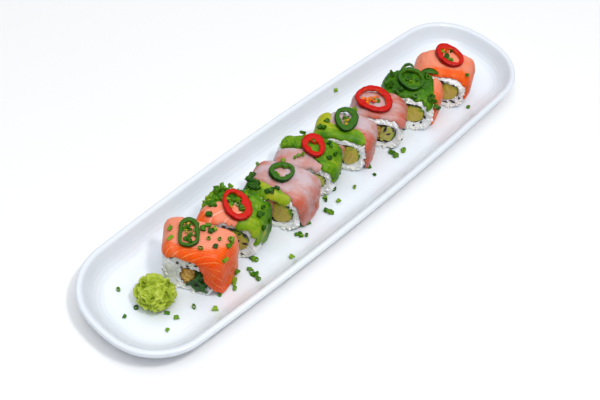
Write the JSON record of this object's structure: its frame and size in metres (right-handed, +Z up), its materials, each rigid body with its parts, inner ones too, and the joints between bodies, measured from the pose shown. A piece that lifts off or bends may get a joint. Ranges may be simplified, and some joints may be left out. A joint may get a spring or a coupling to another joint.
{
  "type": "uramaki sushi platter",
  "caption": "Oblong white platter with a row of inside-out sushi roll slices draped in salmon, white fish and avocado, topped with chilli rings and chives, with a mound of wasabi.",
  "frame": {"origin": "middle of the platter's foot, on the surface that it stands on", "axes": "+X along the platter away from the wasabi, +Y across it to the side that the slices lean to, +Z up"},
  "size_m": [0.42, 0.1114, 0.0566],
  "materials": {
    "porcelain": "white glazed porcelain, smooth and glossy",
    "wasabi": "pale green paste, matt, squeezed into crumpled folds",
    "rice": "cooked white rice, moist grains",
    "nori": "dark green-black seaweed, damp",
    "salmon": "raw orange salmon with pale fat lines, moist",
    "white_fish": "raw pink white fish, translucent and moist",
    "prawn": "pale pink prawn or crab meat, fibrous",
    "avocado": "sliced avocado, dark green outside to yellow-green inside, oily",
    "avocado_core": "avocado strip at the cut, tan-yellow with a green rim",
    "cucumber": "cucumber strip with dark green skin, wet",
    "leaf": "dark green leaf strands",
    "tempura": "yellow-orange fried filling, rough",
    "red_chilli": "fresh red chilli ring, shiny",
    "green_chilli": "fresh green chilli ring, shiny"
  },
  "bodies": {
    "root": {"platter": "porcelain", "wasabi": "wasabi", "rice_1": "rice", "nori_1": "nori", "filling_left_1": "tempura", "filling_right_1": "leaf", "rice_2": "rice", "nori_2": "nori", "filling_left_2": "leaf", "filling_right_2": "avocado_core", "rice_3": "rice", "nori_3": "nori", "filling_left_3": "prawn", "filling_right_3": "avocado_core", "rice_4": "rice", "nori_4": "nori", "filling_left_4": "tempura", "filling_right_4": "cucumber", "rice_5": "rice", "nori_5": "nori", "filling_left_5": "prawn", "filling_right_5": "avocado_core", "rice_6": "rice", "nori_6": "nori", "filling_left_6": "tempura", "filling_right_6": "cucumber", "rice_7": "rice", "nori_7": "nori", "filling_left_7": "prawn", "filling_right_7": "avocado_core", "rice_8": "rice", "nori_8": "nori", "filling_left_8": "prawn", "filling_right_8": "avocado_core", "salmon_1": "salmon", "avocado_right_2": "avocado", "salmon_2": "salmon", "avocado_left_2": "avocado", "white_fish_3": "white_fish", "avocado_3": "avocado", "avocado_right_4": "avocado", "white_fish_4": "white_fish", "avocado_back_4": "avocado", "white_fish_5": "white_fish", "avocado_5": "avocado", "white_fish_6": "white_fish", "salmon_7": "salmon", "avocado_7": "avocado", "salmon_8": "salmon", "chilli_1": "green_chilli", "chilli_2": "red_chilli", "chilli_3": "green_chilli", "chilli_4": "red_chilli", "chilli_5": "green_chilli", "chilli_6": "red_chilli", "chilli_7": "green_chilli", "chilli_7_small": "green_chilli", "chilli_8": "red_chilli", "green_sliver": "green_chilli"}
  },
  "joints": []
}
